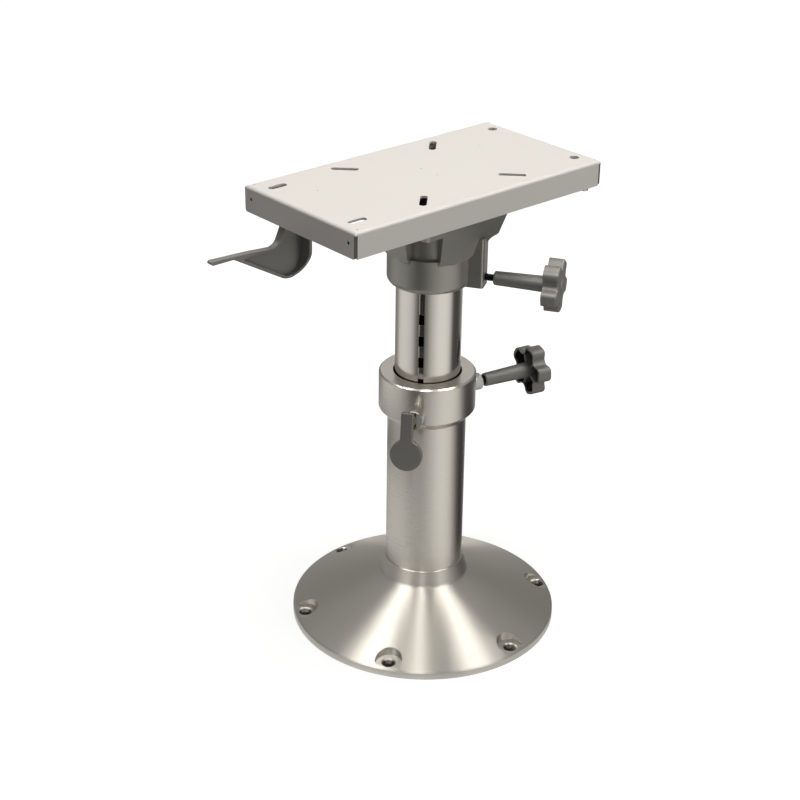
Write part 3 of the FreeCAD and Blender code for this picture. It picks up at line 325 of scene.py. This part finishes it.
def knob_hollow_shade(tree):
    """1 on the walls and floors of the hollows behind the two knobs' faces, where shade is painted, 0
    elsewhere.
    """
    where = place(tree)
    normal = put(tree, "ShaderNodeTexCoord").outputs["Normal"]
    hollows = 0.0
    for bearing, height, _, knob in CLAMPS.values():
        axis = outward(bearing)
        offset = vector_of(tree, "SUBTRACT", where, (0, 0, height))
        along = vector_of(tree, "DOT_PRODUCT", offset, axis, "Value")
        foot = put(tree, "ShaderNodeVectorMath", {0: axis, "Scale": along}, operation="SCALE").outputs[0]
        radial = vector_of(tree, "SUBTRACT", offset, foot)
        square = vector_of(tree, "DOT_PRODUCT", radial, radial, "Value")
        inward = vector_of(tree, "DOT_PRODUCT", normal, radial, "Value")
        inward = math_of(tree, "DIVIDE", inward, math_of(tree, "SQRT", square))
        backward = vector_of(tree, "DOT_PRODUCT", normal, axis, "Value")
        depth = math_of(tree, "SUBTRACT", along, knob + KNOB_BACK)
        walls = rise(tree, inward, WALL_FACING)
        floors = product(tree, rise(tree, backward, FLOOR_FACING), rise(tree, depth, FLOOR_DEPTHS))
        in_head = product(tree, rise(tree, square, HEAD_RADII_SQUARED), rise(tree, depth, WALL_DEPTHS))
        dark = product(tree, in_head, math_of(tree, "MAXIMUM", walls, floors))
        hollows = math_of(tree, "MAXIMUM", hollows, dark)
    return hollows


# A corner's painted highlight: so many times the paint's colour, and a little more
HIGHLIGHT_FACTOR = 1.5
HIGHLIGHT_LIFT = 0.02

# How far a coat's roughness goes each way
SHEEN_RANGE = 0.04


def coated(name, colour, roughness, grain, strength, edge=0.25, spread_by=0.06, painted_shade=None, **constants):
    """Paint or moulded plastic: slightly uneven colour and sheen, fine grain, painted highlights on
    corners, painted shade in hollows where a mask is given.
    """
    made, tree, shader = material(name, **constants)
    clouds = use(tree, CLOUDY, Broad=14.0, Grain=grain, Strength=strength)
    base = mixed(tree, clouds["Mask"], shade(colour, 1 - spread_by), shade(colour, 1 + spread_by))
    # Painted highlight on the corners
    base = mixed(tree, use(tree, EDGE_HIGHLIGHTS, Amount=edge)["Mask"], base, shade(colour, HIGHLIGHT_FACTOR, HIGHLIGHT_LIFT))
    # Painted shade in the hollows that the mask finds
    if painted_shade:
        base = mixed(tree, painted_shade(tree), base, shade(colour, HOLLOW_SHADE_FACTOR))
    join(tree, base, shader, "Base Color")
    rough = spread(tree, clouds["Mask"], *NOISE_ENDS, roughness - SHEEN_RANGE, roughness + SHEEN_RANGE)
    join(tree, rough, shader, "Roughness")
    join(tree, clouds["Normal"], shader, "Normal")
    return made


# Zinc: crystals to a metre, colours and roughness of the darkest and the lightest crystal
CRYSTAL_SCALE = 110.0
ZINC_DARK = (0.30, 0.30, 0.29, 1)
ZINC_LIGHT = (0.46, 0.46, 0.45, 1)
ZINC_ROUGHNESS = (0.34, 0.52)


def galvanised():
    """Zinc-coated sheet with its pattern of crystals."""
    made, tree, shader = material("galvanised_sheet", Metallic=1.0)
    cells = put(tree, "ShaderNodeTexVoronoi", {"Vector": place(tree), "Scale": CRYSTAL_SCALE}, feature="F1")
    tone = put(tree, "ShaderNodeSeparateColor", {"Color": cells.outputs["Color"]}).outputs[0]
    join(tree, mixed(tree, tone, ZINC_DARK, ZINC_LIGHT), shader, "Base Color")
    join(tree, spread(tree, tone, 0.0, 1.0, *ZINC_ROUGHNESS), shader, "Roughness")
    join(tree, use(tree, CLOUDY, Broad=20.0, Grain=1500.0, Strength=0.05)["Normal"], shader, "Normal")
    return made


# The seat plate's paint: its darkest and its lightest colour, and its roughness
PAINT_DARK = (0.83, 0.79, 0.74, 1)
PAINT_LIGHT = (0.86, 0.825, 0.78, 1)
PAINT_ROUGHNESS = (0.38, 0.46)

# The seat plate's corner seams, where shade is painted: distances from its side, from its front or back and
# from its top between which the painted shade fades in
SEAM_FROM_SIDE = (0.0021, 0.0012)
SEAM_FROM_END = (0.0032, 0.0026)
SEAM_FROM_TOP = (0.0032, 0.0042)
SEAM_SHADE_COLOUR = (0.12, 0.105, 0.085, 1)


def painted_sheet():
    """Pale paint on folded sheet, with painted shade in the open seams of its corners."""
    made, tree, shader = material("light_coated_sheet", Specular_IOR_Level=0.3)
    clouds = use(tree, CLOUDY, Broad=6.0, Grain=1200.0, Strength=0.05)
    base = mixed(tree, clouds["Mask"], PAINT_DARK, PAINT_LIGHT)
    x, y, z = put(tree, "ShaderNodeSeparateXYZ", {"Vector": place(tree)}).outputs
    (_, plate_front, _), (plate_side, plate_back, plate_top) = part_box("seat_plate")
    from_side = math_of(tree, "SUBTRACT", plate_side, math_of(tree, "ABSOLUTE", x))
    from_front = math_of(tree, "SUBTRACT", y, plate_front)
    from_back = math_of(tree, "SUBTRACT", plate_back, y)
    from_end = math_of(tree, "MINIMUM", from_front, from_back)
    from_top = math_of(tree, "SUBTRACT", plate_top, z)
    # Painted shade in the open seams at the plate's corners
    seam_shade = product(tree, rise(tree, from_side, SEAM_FROM_SIDE), rise(tree, from_end, SEAM_FROM_END),
                   rise(tree, from_top, SEAM_FROM_TOP))
    join(tree, mixed(tree, seam_shade, base, SEAM_SHADE_COLOUR), shader, "Base Color")
    join(tree, spread(tree, clouds["Mask"], *NOISE_ENDS, *PAINT_ROUGHNESS), shader, "Roughness")
    join(tree, clouds["Normal"], shader, "Normal")
    return made


MATERIALS = {
    "spun_aluminium": metal("spun_aluminium", (0.56, 0.535, 0.49), roughness=0.41, scale=1500.0,
                            strength=0.1, anisotropy=0.96, painted_shade=bolt_hole_painted_shade),
    "turned_aluminium": metal("turned_aluminium", (0.61, 0.58, 0.53), roughness=0.28, scale=1300.0,
                              strength=0.005, anisotropy=0.4, rough_range=0.02),
    "polished_aluminium": metal("polished_aluminium", (0.63, 0.60, 0.55), roughness=0.155, scale=1500.0,
                                strength=0.02, anisotropy=0.3, rough_range=0.03),
    "grey_casting": coated("grey_casting", (0.36, 0.35, 0.315), roughness=0.35, grain=420.0, strength=0.16,
                           edge=0.6, spread_by=0.05, Metallic=0.55),
    "grey_plastic": coated("grey_plastic", (0.25, 0.245, 0.225), roughness=0.52, grain=1600.0, strength=0.1,
                           edge=0.3, painted_shade=knob_hollow_shade, Metallic=0.25),
    "dark_plastic": coated("dark_plastic", (0.27, 0.26, 0.237), roughness=0.48, grain=1500.0, strength=0.12,
                           edge=0.35, Metallic=0.35),
    "light_coated_sheet": painted_sheet(),
    "galvanised_steel": galvanised(),
    "bright_steel": metal("bright_steel", (0.58, 0.57, 0.55), roughness=0.26, scale=1200.0, strength=0.04),
    "black_steel": metal("black_steel", (0.012, 0.012, 0.012), roughness=0.4, scale=1200.0, strength=0.05),
    "white_nylon": coated("white_nylon", (0.93, 0.92, 0.87), roughness=0.38, grain=900.0, strength=0.04,
                          edge=0.0, spread_by=0.02, Subsurface_Weight=0.15,
                          Subsurface_Radius=(0.004, 0.004, 0.003), Subsurface_Scale=1.0),
}


def dress(piece, slot):
    """Give a piece the one material of its slot."""
    piece.data.materials.clear()
    piece.data.materials.append(MATERIALS[slot])


# Points nearer than this are one before an edge is rounded
WELD_DISTANCE = 0.000002


def soften(piece, width, angle=28.0):
    """Small rounded edges that catch the light, on a CAD node whose shape stays."""
    weld = piece.modifiers.new("weld", "WELD")
    weld.merge_threshold = WELD_DISTANCE
    bevel = piece.modifiers.new("edge", "BEVEL")
    bevel.width = width
    bevel.segments = 2
    bevel.limit_method = "ANGLE"
    bevel.angle_limit = math.radians(angle)
    bevel.use_clamp_overlap = True
    bevel.harden_normals = False
    normals = piece.modifiers.new("normals", "WEIGHTED_NORMAL")
    normals.keep_sharp = False
    normals.weight = 80


# Every CAD node's material, and the width of its rounded edges
SLOT_OF = {entry["node"]: entry["material_slot"] for entry in frame["record"]["subparts"]}
EDGE_WIDTHS = {"seat_plate": 0.0003, "base_flange": 0.0004, "swivel_housing": 0.0009, "slide_base": 0.0002,
               "column_collar": 0.0003, "height_lever": 0.0003, "slide_lever": 0.0004,
               "upper_clamp_knob": 0.0004, "lower_clamp_knob": 0.0004}
SMALL_EDGE_WIDTH = 0.00015


def dress_cad_nodes():
    """Give every CAD node its material, smooth faces and rounded edges."""
    for name, piece in nodes.items():
        dress(piece, SLOT_OF[name])
        for face in piece.data.polygons:
            face.use_smooth = True
        soften(piece, EDGE_WIDTHS.get(name, SMALL_EDGE_WIDTH))


# Pieces made here
def add_object(name, mesh):
    """Add an object to the scene with the mesh that has been built."""
    data = bpy.data.meshes.new(name)
    mesh.to_mesh(data)
    mesh.free()
    made = bpy.data.objects.new(name, data)
    bpy.context.scene.collection.objects.link(made)
    return made


def threaded_rod(name, radius, length, pitch, depth, steps=40):
    """A screw along +X, its helical thread swept from a profile and run out at both ends."""
    mesh = bmesh.new()
    # Flanks and crest over one pitch: the share of the pitch and the drop below the crest
    profile = [(0.0, -depth), (0.18, -depth), (0.46, 0.0), (0.60, 0.0), (0.88, -depth)]
    count = int(round(length / pitch * steps))
    sections = []
    for i in range(count + 1):
        angle = 2 * math.pi * i / steps
        start = length * i / count
        section = []
        for along, drop in profile:
            x = min(max(start + (along - 1.0) * pitch, 0.0), length)
            ease = min(1.0, x / pitch, (length - x) / pitch)
            r = radius + drop * ease - depth * (1.0 - ease)
            section.append(mesh.verts.new((x, r * math.cos(angle), r * math.sin(angle))))
        sections.append(section)
    for before, after in zip(sections, sections[1:]):
        for j in range(len(profile) - 1):
            mesh.faces.new((before[j], before[j + 1], after[j + 1], after[j]))
    # The root, between one turn and the next
    for i in range(len(sections) - steps - 1):
        here, follow = sections[i][-1], sections[i + 1][-1]
        beside, over = sections[i + steps][0], sections[i + 1 + steps][0]
        mesh.faces.new((here, beside, over, follow))
    for end, first in ((0, 0), (-1, len(sections) - steps)):
        hub = mesh.verts.new((0.0 if end == 0 else length, 0, 0))
        loop = [sections[first + k][end] for k in range(steps)]
        for k in range(steps):
            pair = (loop[k], loop[(k + 1) % steps])
            mesh.faces.new((hub,) + (pair if end else pair[::-1]))
    rod = add_object(name, mesh)
    for face in rod.data.polygons:
        face.use_smooth = True
    return rod


def clamp_screws():
    """The two clamp screws, with real threads in place of the CAD's plain shanks."""
    for side, (bearing, height, start, knob) in CLAMPS.items():
        length = knob + SCREW_IN_KNOB - start
        screw = threaded_rod(f"{side}_clamp_thread", SCREW_RADIUS, length, SCREW_PITCH, THREAD_DEPTH)
        screw.data.transform(Matrix.Rotation(math.radians(bearing - 90), 4, "Z"))
        screw.data.transform(Matrix.Translation(outward(bearing) * start + Vector((0, 0, height))))
        dress(screw, "black_steel")
        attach(screw, f"{side}_clamp")
        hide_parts(f"{side}_clamp_screw")


def end_hole_shade_discs():
    """Black discs set in the two small holes of the seat plate's front flange, standing in for the shade
    inside them.
    """
    low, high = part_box("seat_plate")
    for side, sign in (("left", -1), ("right", 1)):
        mesh = bmesh.new()
        bmesh.ops.create_cone(mesh, cap_ends=True, segments=32, radius1=SHADE_DISC_RADIUS, radius2=SHADE_DISC_RADIUS,
                              depth=SHADE_DISC_LENGTH)
        shade_disc = add_object(f"end_hole_shade_disc_{side}", mesh)
        shade_disc.data.transform(Matrix.Rotation(math.pi / 2, 4, "X"))
        where = Vector((sign * (high[0] - SHADE_DISC_INSET), low[1] + SHADE_DISC_DEPTH, high[2] - SHADE_DISC_DROP))
        shade_disc.data.transform(Matrix.Translation(where))
        # Black stands in for the shade inside the hole
        dress(shade_disc, "black_steel")
        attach(shade_disc, "seat")


def latch_spring_coil():
    """The latch's spring, as a copy of the CAD node in bright steel that takes its place."""
    coil = bpy.data.objects.new("latch_spring_coil", nodes["latch_spring"].data.copy())
    bpy.context.scene.collection.objects.link(coil)
    dress(coil, "bright_steel")
    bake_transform(coil)
    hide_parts("latch_spring")


dress_cad_nodes()
clamp_screws()
end_hole_shade_discs()
latch_spring_coil()


# Studio
# Levels of the reflected floor, far from the axis and near it, each with the bearing from the
# camera of the upright wall that mirrors it
FAR_LEVELS = [(-90, 0.6), (-78, 0.25), (-66, 0.26), (-57, 0.86), (-44, 0.92), (-33, 0.82), (-25, 0.54),
              (-18, 0.0), (-12, 0.0), (-6, 0.08), (2, 0.5), (15, 1.0), (27, 1.06), (37, 0.84), (42, 0.4),
              (46, 0.05), (66, 0.07), (80, 0.7)]
NEAR_LEVELS = [(-90, 0.42), (-75, 0.42), (-60, 0.7), (-45, 0.75), (-32, 0.76), (-20, 0.63), (-5, 0.5),
               (6, 0.66), (15, 0.9), (26, 1.03), (36, 0.85), (44, 0.42), (52, 0.02), (68, 0.02), (78, 0.4),
               (88, 0.55)]

# Cards that the base mirrors as streaks: bearing from the camera, width, brightness
CARDS = {"left": (-67.0, 0.77, 11.0), "middle": (-4.0, 0.27, 13.2), "right": (75.0, 0.72, 9.6)}
CARD_ELEVATION = 58.0
CARD_DISTANCE = 1.6
CARD_HEIGHT = 0.55
CARD_AIM = (0, 0, 0.2)

# Lamps: bearing, elevation, distance, size, watts
LAMPS = {"top_lamp": (80.0, 87.0, 2.2, 1.4, 37.0), "side_lamp": (105.0, 12.0, 2.2, 1.2, 12.0)}
LAMP_AIM = (0, 0, 0.35)
LAMP_COLOUR = (1.0, 0.985, 0.96)

# The round studio that only reflections see, and the white background's light on the object
STUDIO_RADIUS = 2.4
STUDIO_HEIGHT = 2.6
CEILING_HOLE_RADIUS = 0.02
REFLECTED_FLOOR_HEIGHT = 0.002
REFLECTED_FLOOR_START = 0.16
REFLECTION_COLOUR = (1.0, 0.99, 0.965, 1)
BACKGROUND_LIGHT = 0.13

# Radii of the reflected floor between which the near levels turn into the far ones
NEAR_TO_FAR = (0.52, 0.62)

# A dark patch of the reflected floor: its inner edge, its outer edge at two bearings and how
# sharp that is, the bearings between which it fades in and out, and its level
PATCH_INNER_EDGE = (0.395, 0.41)
PATCH_OUTER_EDGE = (0.46, 0.57)
PATCH_OUTER_BEARINGS = (-150.0, -115.0)
PATCH_SHARPNESS = 60.0
PATCH_FADES_IN = (-170.0, -150.0)
PATCH_FADES_OUT = (-28.0, -42.0)
PATCH_LEVEL = 0.1

# The studio's wall: its level at two heights, and a bright band behind the object with the
# bearings and heights between which it fades in and out
WALL_HEIGHTS = (1.0, 2.2)
WALL_LEVELS = (0.24, 0.52)
BAND_LEVEL = 0.72
BAND_BEARINGS = (160.0, 171.0)
BAND_FOOT = (0.9, 1.15)
BAND_TOP = (2.3, 1.8)

# The white floor: the grey that takes light and shadow, and the glow that makes it white, by
# distance from the axis, which starts where the base no longer covers it
FLOOR_GREY = (0.35, 0.35, 0.35, 1)
FLOOR_HEIGHT = -0.0002
FLOOR_REACH = 12
WHITE_DISTANCES = (0.2, 0.9)
WHITE_LEVELS = (0.82, 0.96)
UNCOVERED = (0.147, 0.154)


def round_the_camera(tree):
    """Bearing from the camera in degrees, from -180 to 180, with distance from the axis and height."""
    position = put(tree, "ShaderNodeNewGeometry").outputs["Position"]
    x, y, z = put(tree, "ShaderNodeSeparateXYZ", {"Vector": position}).outputs
    ahead, aside = [vector_of(tree, "DOT_PRODUCT", position, outward(CAMERA_BEARING + turn), "Value")
                    for turn in (0, 90)]
    angle = product(tree, math_of(tree, "ARCTAN2", aside, ahead), 180 / math.pi)
    return angle, level_distance(tree, x, y), z


def mirrored(tree, angle, levels):
    """The studio's level at an angle round the camera: a wall mirrors what is at twice its bearing."""
    turn = spread(tree, angle, -180.0, 180.0, 0.0, 1.0)
    ramp = put(tree, "ShaderNodeValToRGB", {"Fac": turn})
    elements = ramp.color_ramp.elements
    ramp.color_ramp.interpolation = "B_SPLINE"
    while len(elements) > 1:
        elements.remove(elements[-1])
    for i, (bearing, level) in enumerate(levels):
        position = (bearing * 2 + 180) / 360
        stop = elements.new(position) if i else elements[0]
        stop.position = position
        stop.color = (level, level, level, 1)
    return put(tree, "ShaderNodeSeparateColor", {"Color": ramp.outputs["Color"]}).outputs[0]


def between(tree, factor, a, b):
    """a where factor is 0 and b where it is 1."""
    kept = product(tree, math_of(tree, "SUBTRACT", 1.0, factor), a)
    return math_of(tree, "ADD", kept, product(tree, factor, b))


def floor_level(tree):
    """What upright walls mirror: bright and dark parts of the studio round the floor."""
    angle, radius, _ = round_the_camera(tree)
    near = mirrored(tree, angle, NEAR_LEVELS)
    far = mirrored(tree, angle, FAR_LEVELS)
    level = between(tree, rise(tree, radius, NEAR_TO_FAR), near, far)
    outer_edge = spread(tree, angle, *PATCH_OUTER_BEARINGS, *PATCH_OUTER_EDGE)
    inside = math_of(tree, "SUBTRACT", outer_edge, radius)
    patch = product(tree, rise(tree, radius, PATCH_INNER_EDGE),
                    math_of(tree, "MULTIPLY", inside, PATCH_SHARPNESS, True),
                    rise(tree, angle, PATCH_FADES_IN), rise(tree, angle, PATCH_FADES_OUT))
    return between(tree, patch, level, PATCH_LEVEL)


def ceiling_level(tree):
    """Grey round and above the object, lighter with height, with a bright band straight behind it."""
    angle, _, height = round_the_camera(tree)
    wall = spread(tree, height, *WALL_HEIGHTS, *WALL_LEVELS)
    band = product(tree, rise(tree, math_of(tree, "ABSOLUTE", angle), BAND_BEARINGS),
                   rise(tree, height, BAND_FOOT), rise(tree, height, BAND_TOP))
    return between(tree, band, wall, BAND_LEVEL)


def only_reflected(made, level):
    """Make an object glow by a level, or by level(tree), in reflections alone."""
    look = bpy.data.materials.new(made.name)
    look.use_nodes = True
    tree = look.node_tree
    tree.nodes.clear()
    strength = level(tree) if callable(level) else level
    light = put(tree, "ShaderNodeEmission", {"Color": REFLECTION_COLOUR, "Strength": strength})
    put(tree, "ShaderNodeOutputMaterial", {"Surface": light.outputs[0]})
    made.data.materials.append(look)
    made.visible_camera = False
    made.visible_diffuse = False
    made.visible_shadow = False
    made.visible_transmission = False


def card(name, bearing, width, level):
    """A glowing card above the object that the base mirrors."""
    mesh = bmesh.new()
    # A square of one metre, scaled to the card's size
    bmesh.ops.create_grid(mesh, x_segments=1, y_segments=1, size=0.5)
    made = add_object(name, mesh)
    made.scale = (width, CARD_HEIGHT, 1)
    made.location = aimed(bearing, CARD_ELEVATION, CARD_DISTANCE)
    made.rotation_euler = (Vector(CARD_AIM) - made.location).to_track_quat("Z", "Y").to_euler()
    only_reflected(made, level)


def revolved(name, rows, level, steps=72):
    """A surface turned round the column's axis through (radius, height) rows."""
    mesh = bmesh.new()
    points = [[mesh.verts.new(outward(360 * i / steps) * radius + Vector((0, 0, z))) for i in range(steps)]
              for radius, z in rows]
    for low, high in zip(points, points[1:]):
        for i in range(steps):
            mesh.faces.new((low[i], low[(i + 1) % steps], high[(i + 1) % steps], high[i]))
    only_reflected(add_object(name, mesh), level)


def shown_level(tree):
    """1 for rays that see the background, 0 for those that light the object."""
    path = put(tree, "ShaderNodeLightPath").outputs
    seen = math_of(tree, "MAXIMUM", path["Is Camera Ray"], path["Is Glossy Ray"])
    return math_of(tree, "MAXIMUM", seen, path["Is Transmission Ray"])


def white_background():
    """White to the eye, and a soft light on the object."""
    made = bpy.data.worlds.new("studio")
    bpy.context.scene.world = made
    made.use_nodes = True
    background = made.node_tree.nodes["Background"]
    background.inputs["Color"].default_value = (1, 1, 1, 1)
    strength = spread(made.node_tree, shown_level(made.node_tree), 0.0, 1.0, BACKGROUND_LIGHT, 1.0)
    join(made.node_tree, strength, background, "Strength")


def white_floor():
    """A floor that looks white, with a faint shadow round the base."""
    mesh = bmesh.new()
    bmesh.ops.create_grid(mesh, x_segments=1, y_segments=1, size=FLOOR_REACH)
    made = add_object("floor", mesh)
    made.location.z = FLOOR_HEIGHT
    look, tree, shader = material("floor", Base_Color=FLOOR_GREY, Roughness=0.9, Specular_IOR_Level=0.0,
                                  Emission_Color=(1, 1, 1, 1))
    distance = put(tree, "ShaderNodeVectorMath", {0: place(tree)}, operation="LENGTH").outputs["Value"]
    whiteness = spread(tree, distance, *WHITE_DISTANCES, *WHITE_LEVELS)
    shown = product(tree, shown_level(tree), whiteness, rise(tree, distance, UNCOVERED))
    join(tree, shown, shader, "Emission Strength")
    made.data.materials.append(look)
    made.visible_diffuse = False


def lamp(name, bearing, elevation, distance, size, power):
    """A round lamp that lights the object and isn't mirrored in it."""
    data = bpy.data.lights.new(name, "AREA")
    data.shape = "DISK"
    data.size = size
    data.energy = power
    data.color = LAMP_COLOUR
    made = bpy.data.objects.new(name, data)
    made.location = aimed(bearing, elevation, distance, LAMP_AIM)
    made.rotation_euler = (Vector(LAMP_AIM) - made.location).to_track_quat("-Z", "Y").to_euler()
    made.visible_glossy = False
    bpy.context.scene.collection.objects.link(made)


def studio():
    """Background, floor, lamps, and what the metal mirrors."""
    white_background()
    white_floor()
    for name, values in LAMPS.items():
        lamp(name, *values)
    for side, (turn, width, level) in CARDS.items():
        card(f"{side}_card", CAMERA_BEARING + turn, width, level)
    floor_rows = [(radius, REFLECTED_FLOOR_HEIGHT) for radius in (REFLECTED_FLOOR_START, STUDIO_RADIUS)]
    revolved("floor_reflection", floor_rows, floor_level)
    wall_rows = [(STUDIO_RADIUS, 0.0), (STUDIO_RADIUS, STUDIO_HEIGHT), (CEILING_HOLE_RADIUS, STUDIO_HEIGHT)]
    revolved("ceiling_reflection", wall_rows, ceiling_level)


def camera():
    """The photograph's camera."""
    data = bpy.data.cameras.new("camera")
    data.sensor_width = SENSOR_WIDTH
    data.lens = CAMERA_LENS
    made = bpy.data.objects.new("camera", data)
    made.location = CAMERA_PLACE
    made.rotation_euler = Euler([math.radians(angle) for angle in CAMERA_TURN], "XYZ")
    bpy.context.scene.collection.objects.link(made)
    bpy.context.scene.camera = made


studio()
camera()
bpy.context.scene.view_settings.view_transform = "Standard"
